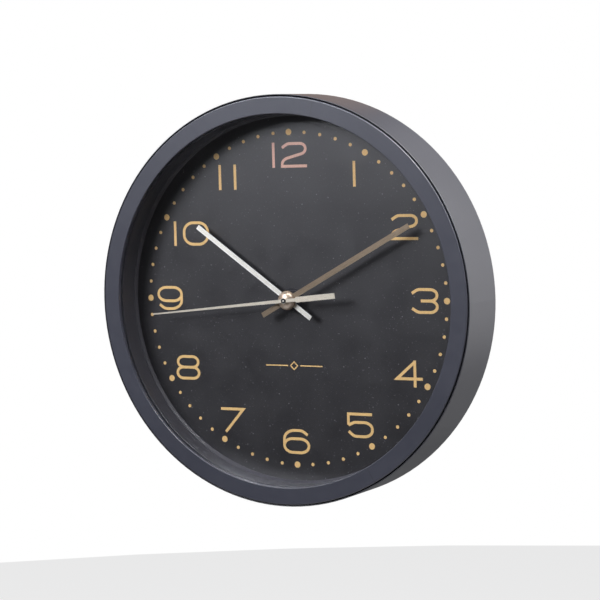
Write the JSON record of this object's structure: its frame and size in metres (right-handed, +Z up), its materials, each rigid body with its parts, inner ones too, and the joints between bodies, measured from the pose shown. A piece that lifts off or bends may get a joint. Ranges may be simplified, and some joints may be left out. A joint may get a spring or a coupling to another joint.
{
  "type": "wall clock",
  "caption": "Round quartz wall clock with a drum case, a ring bezel, a glass, a dark dial with gold minute dots and straight bar hands driven by a battery movement.",
  "frame": {"origin": "on the hands' axis, in the wall plane, at the middle of the movement's flat back", "axes": "+Z up towards twelve, -Y out of the wall through the dial towards the viewer, +X towards three"},
  "size_m": [0.25, 0.04, 0.25],
  "materials": {
    "case": "satin moulded plastic, dark blue grey",
    "spacer": "matte dark plastic",
    "glass": "clear flat glass",
    "dial": "semi-gloss charcoal sheet",
    "print_gold": "matt gold print on the dial",
    "print_rose": "matt rose copper print on the dial",
    "pan": "black moulded plastic",
    "hands": "straight-grained satin silver",
    "cap": "polished nickel",
    "steel": "plain steel",
    "brass": "turned brass",
    "black_steel": "blackened steel",
    "rubber": "black rubber",
    "movement": "black moulded plastic with a fine grain",
    "gears": "natural white acetal",
    "magnet": "sintered magnet",
    "iron": "stamped soft iron",
    "bobbin": "natural nylon",
    "copper": "enamelled copper wire",
    "board": "green fibre board",
    "chip": "black resin blob",
    "contact": "nickel-plated spring steel",
    "cell": "plain printed cell jacket"
  },
  "bodies": {
    "case": {"case_drum": "case", "mounting_ring": "pan", "front_bezel": "case", "glass_lens": "glass", "spacer_ring": "spacer", "dial": "dial", "back_pan": "pan", "case_screws": "steel", "dial_washer": "black_steel", "fixing_nut": "black_steel", "rubber_washer": "rubber", "movement_front_case": "movement", "movement_back_cover": "movement", "movement_plate": "gears", "stator": "iron", "coil_core": "iron", "coil_bobbin": "bobbin", "coil_winding": "copper", "circuit_board": "board", "clock_chip": "chip", "quartz_crystal": "contact", "battery_contact_positive": "contact", "battery_contact_negative": "contact"},
    "second_train": {"second_wheel": "gears", "second_hand": "hands", "second_hand_ferrule": "brass"},
    "minute_train": {"minute_tube": "brass", "minute_hand": "hands", "hub_cap": "cap"},
    "hour_train": {"hour_wheel": "gears", "hour_hand": "hands"},
    "centre_wheel_body": {"centre_wheel": "gears"},
    "third_wheel_body": {"third_wheel": "gears"},
    "intermediate_wheel_body": {"intermediate_wheel": "gears"},
    "rotor_body": {"rotor_pinion": "gears", "rotor_magnet": "magnet"},
    "minute_works_body": {"minute_works_wheel": "gears"},
    "setting_knob_body": {"setting_knob": "movement"},
    "battery_body": {"battery_cell": "cell"}
  },
  "joints": [
    {"name": "second_hand_spin", "type": "hinge", "parent": "case", "child": "second_train", "pos_m": [0, -0.008, 0], "axis": [0, 1, 0], "continuous": true},
    {"name": "minute_hand_spin", "type": "hinge", "parent": "case", "child": "minute_train", "pos_m": [0, -0.013, 0], "axis": [0, 1, 0], "continuous": true},
    {"name": "hour_hand_spin", "type": "hinge", "parent": "case", "child": "hour_train", "pos_m": [0, -0.014, 0], "axis": [0, 1, 0], "continuous": true},
    {"name": "centre_wheel_spin", "type": "hinge", "parent": "case", "child": "centre_wheel_body", "pos_m": [0, -0.012, 0], "axis": [0, 1, 0], "continuous": true},
    {"name": "third_wheel_spin", "type": "hinge", "parent": "case", "child": "third_wheel_body", "pos_m": [0.0102, -0.01, 0], "axis": [0, 1, 0], "continuous": true},
    {"name": "intermediate_wheel_spin", "type": "hinge", "parent": "case", "child": "intermediate_wheel_body", "pos_m": [-0.00693, -0.006, 0.004], "axis": [0, 1, 0], "continuous": true},
    {"name": "rotor_spin", "type": "hinge", "parent": "case", "child": "rotor_body", "pos_m": [-0.01033, -0.008, 0.00989], "axis": [0, 1, 0], "continuous": true},
    {"name": "minute_works_spin", "type": "hinge", "parent": "case", "child": "minute_works_body", "pos_m": [0.0036, -0.013, 0.00624], "axis": [0, 1, 0], "continuous": true},
    {"name": "setting_knob_spin", "type": "hinge", "parent": "case", "child": "setting_knob_body", "pos_m": [0.0072, -0.002, 0.01247], "axis": [0, 1, 0], "continuous": true},
    {"name": "battery_lift", "type": "slide", "parent": "case", "child": "battery_body", "axis": [0, 1, 0], "range_m": [0, 0.03]}
  ],
  "couplings": [
    {"joint": "intermediate_wheel_spin", "follows": "second_hand_spin", "ratio": -4},
    {"joint": "rotor_spin", "follows": "second_hand_spin", "ratio": 30},
    {"joint": "third_wheel_spin", "follows": "second_hand_spin", "ratio": -0.13333},
    {"joint": "centre_wheel_spin", "follows": "second_hand_spin", "ratio": 0.016667},
    {"joint": "minute_works_spin", "follows": "minute_hand_spin", "ratio": -0.33333},
    {"joint": "hour_hand_spin", "follows": "minute_hand_spin", "ratio": 0.083333},
    {"joint": "setting_knob_spin", "follows": "minute_hand_spin", "ratio": 1}
  ]
}
